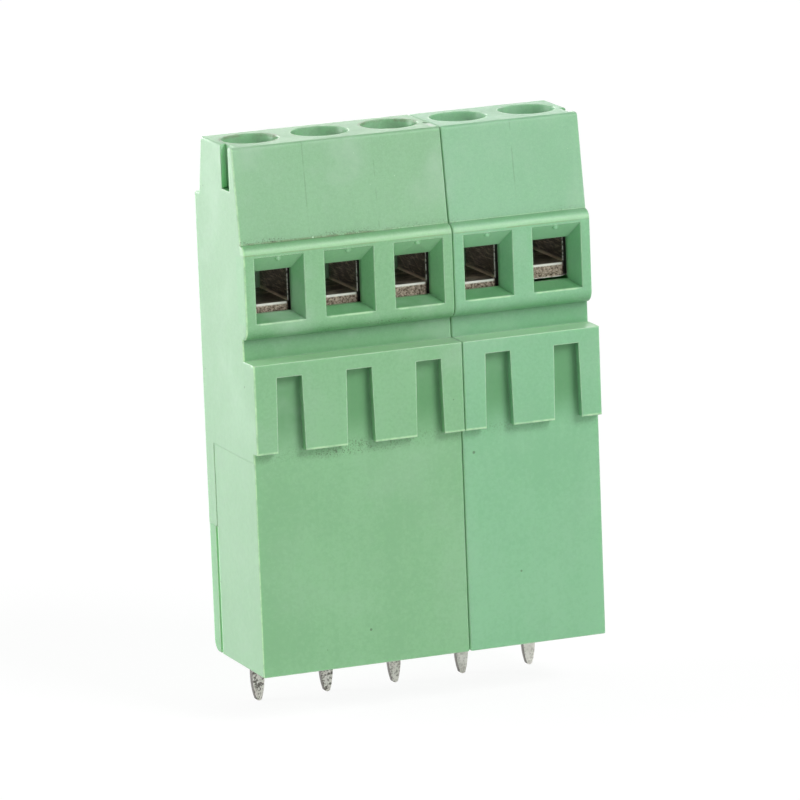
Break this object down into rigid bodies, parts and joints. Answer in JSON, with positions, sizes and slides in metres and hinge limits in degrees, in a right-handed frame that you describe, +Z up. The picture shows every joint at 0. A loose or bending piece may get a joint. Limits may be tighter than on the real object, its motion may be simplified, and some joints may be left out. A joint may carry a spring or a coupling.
{
  "type": "pcb screw terminal",
  "caption": "Tall raised screw terminal block for a circuit board: interlocked plastic housings with front wire windows, rising cage clamps, top screws and solder pins.",
  "frame": {"origin": "middle of the row of solder pins, on the board's upper face", "axes": "+X along the row of poles, +Y to the rear away from the wire windows, +Z up from the board"},
  "size_m": [0.0254, 0.0103, 0.04],
  "materials": {
    "green_plastic_left": "fine matt",
    "green_plastic_right": "fine matt",
    "zinc_plated_steel": "plated",
    "nickel_plated_steel": "plated",
    "tinned_brass": "dull tin"
  },
  "bodies": {
    "block": {"left_housing": "green_plastic_left", "right_housing": "green_plastic_right", "contact_pin_1": "tinned_brass", "contact_pin_2": "tinned_brass", "contact_pin_3": "tinned_brass", "contact_pin_4": "tinned_brass", "contact_pin_5": "tinned_brass"},
    "screw_1": {"clamp_screw_1": "zinc_plated_steel"},
    "cage_1": {"clamp_cage_1": "nickel_plated_steel"},
    "screw_2": {"clamp_screw_2": "zinc_plated_steel"},
    "cage_2": {"clamp_cage_2": "nickel_plated_steel"},
    "screw_3": {"clamp_screw_3": "zinc_plated_steel"},
    "cage_3": {"clamp_cage_3": "nickel_plated_steel"},
    "screw_4": {"clamp_screw_4": "zinc_plated_steel"},
    "cage_4": {"clamp_cage_4": "nickel_plated_steel"},
    "screw_5": {"clamp_screw_5": "zinc_plated_steel"},
    "cage_5": {"clamp_cage_5": "nickel_plated_steel"}
  },
  "joints": [
    {"name": "screw_turn_1", "type": "hinge", "parent": "block", "child": "screw_1", "pos_m": [-0.01016, -0.0031, 0.0328], "axis": [0, 0, 1], "range_deg": [-1888.01, 152.01]},
    {"name": "cage_rise_1", "type": "slide", "parent": "block", "child": "cage_1", "axis": [0, 0, 1], "range_m": [-0.00019, 0.00236]},
    {"name": "screw_turn_2", "type": "hinge", "parent": "block", "child": "screw_2", "pos_m": [-0.00508, -0.0031, 0.0328], "axis": [0, 0, 1], "range_deg": [-1824.01, 216.01]},
    {"name": "cage_rise_2", "type": "slide", "parent": "block", "child": "cage_2", "axis": [0, 0, 1], "range_m": [-0.00027, 0.00228]},
    {"name": "screw_turn_3", "type": "hinge", "parent": "block", "child": "screw_3", "pos_m": [0, -0.0031, 0.0328], "axis": [0, 0, 1], "range_deg": [-1696.01, 344.01]},
    {"name": "cage_rise_3", "type": "slide", "parent": "block", "child": "cage_3", "axis": [0, 0, 1], "range_m": [-0.00043, 0.00212]},
    {"name": "screw_turn_4", "type": "hinge", "parent": "block", "child": "screw_4", "pos_m": [0.00508, -0.0031, 0.0328], "axis": [0, 0, 1], "range_deg": [-1960.01, 80.02]},
    {"name": "cage_rise_4", "type": "slide", "parent": "block", "child": "cage_4", "axis": [0, 0, 1], "range_m": [-0.0001, 0.00245]},
    {"name": "screw_turn_5", "type": "hinge", "parent": "block", "child": "screw_5", "pos_m": [0.01016, -0.0031, 0.0328], "axis": [0, 0, 1], "range_deg": [-1464.01, 576.01]},
    {"name": "cage_rise_5", "type": "slide", "parent": "block", "child": "cage_5", "axis": [0, 0, 1], "range_m": [-0.00072, 0.00183]}
  ],
  "couplings": [
    {"joint": "screw_turn_1", "follows": "cage_rise_1", "rad_per_m": -13963},
    {"joint": "screw_turn_2", "follows": "cage_rise_2", "rad_per_m": -13963},
    {"joint": "screw_turn_3", "follows": "cage_rise_3", "rad_per_m": -13963},
    {"joint": "screw_turn_4", "follows": "cage_rise_4", "rad_per_m": -13963},
    {"joint": "screw_turn_5", "follows": "cage_rise_5", "rad_per_m": -13963}
  ]
}
